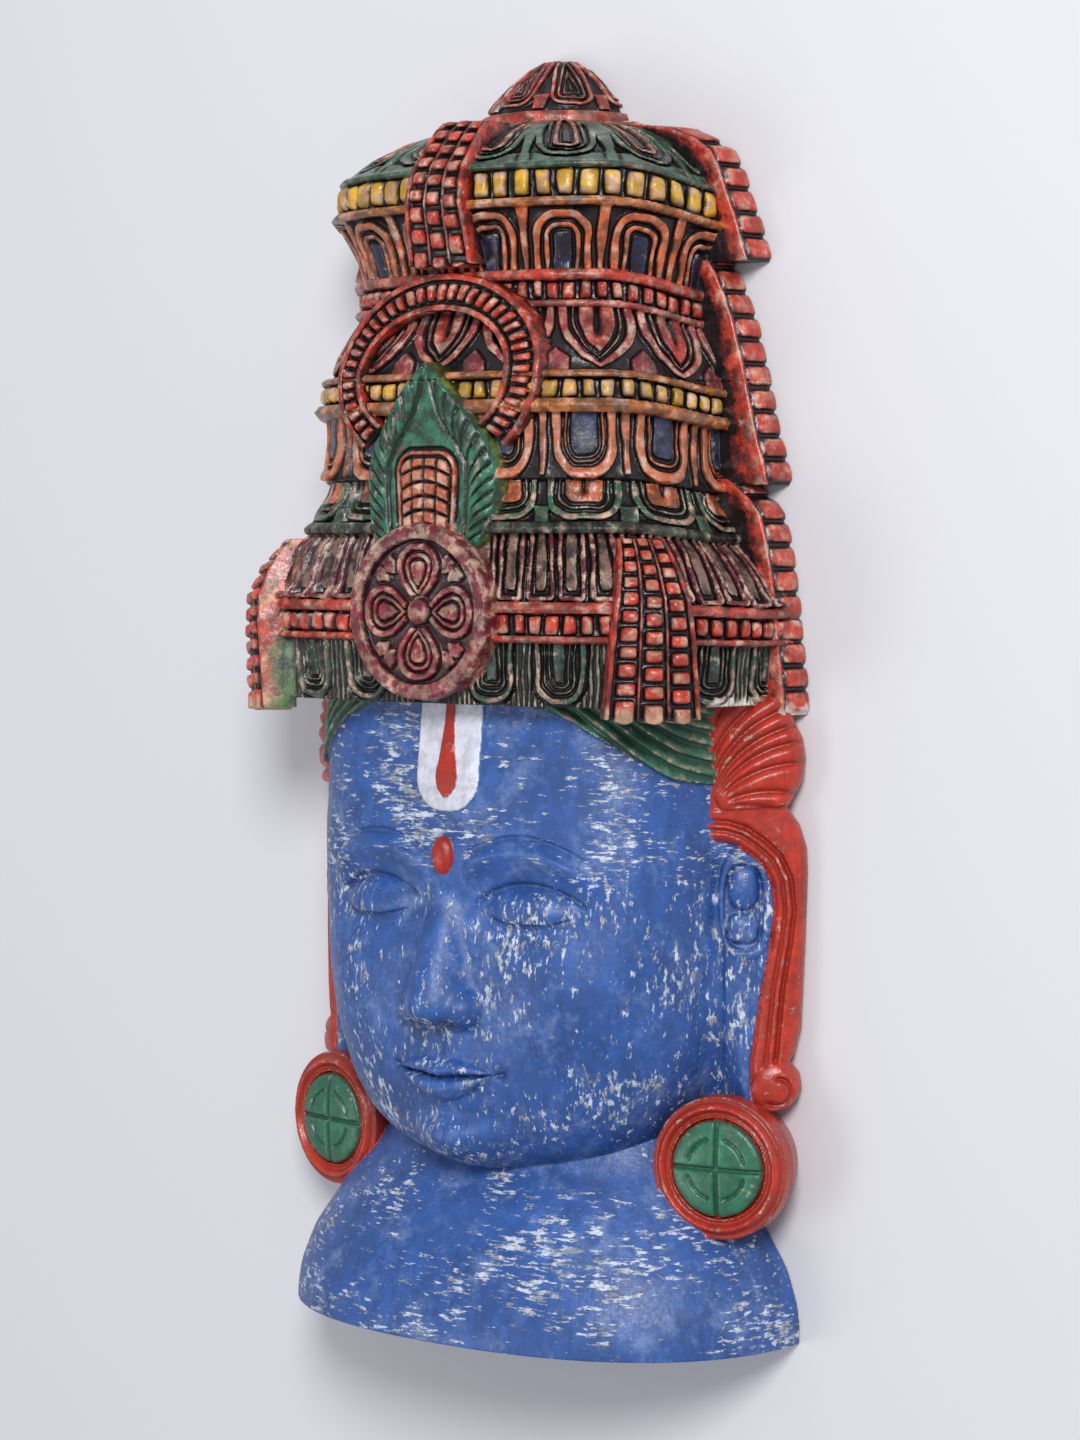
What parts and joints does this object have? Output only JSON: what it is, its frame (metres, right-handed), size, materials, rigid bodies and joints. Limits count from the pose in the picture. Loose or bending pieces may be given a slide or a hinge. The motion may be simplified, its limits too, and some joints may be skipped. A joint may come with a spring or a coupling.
{
  "type": "deity face mask",
  "caption": "Carved and painted wooden wall mask: a calm blue face with round earrings under a tall beaded, tiered crown, on a flat back.",
  "frame": {"origin": "centre of the flat back, which it lies on", "axes": "+X to the viewer's right, +Y towards the top of the crown, +Z out of the face"},
  "size_m": [0.3008, 0.61, 0.115],
  "materials": {
    "painted_wood": "worn brush-painted wood, semi-matt, dark stain in the carving"
  },
  "bodies": {
    "root": {"mask_carving": "painted_wood"}
  },
  "joints": []
}
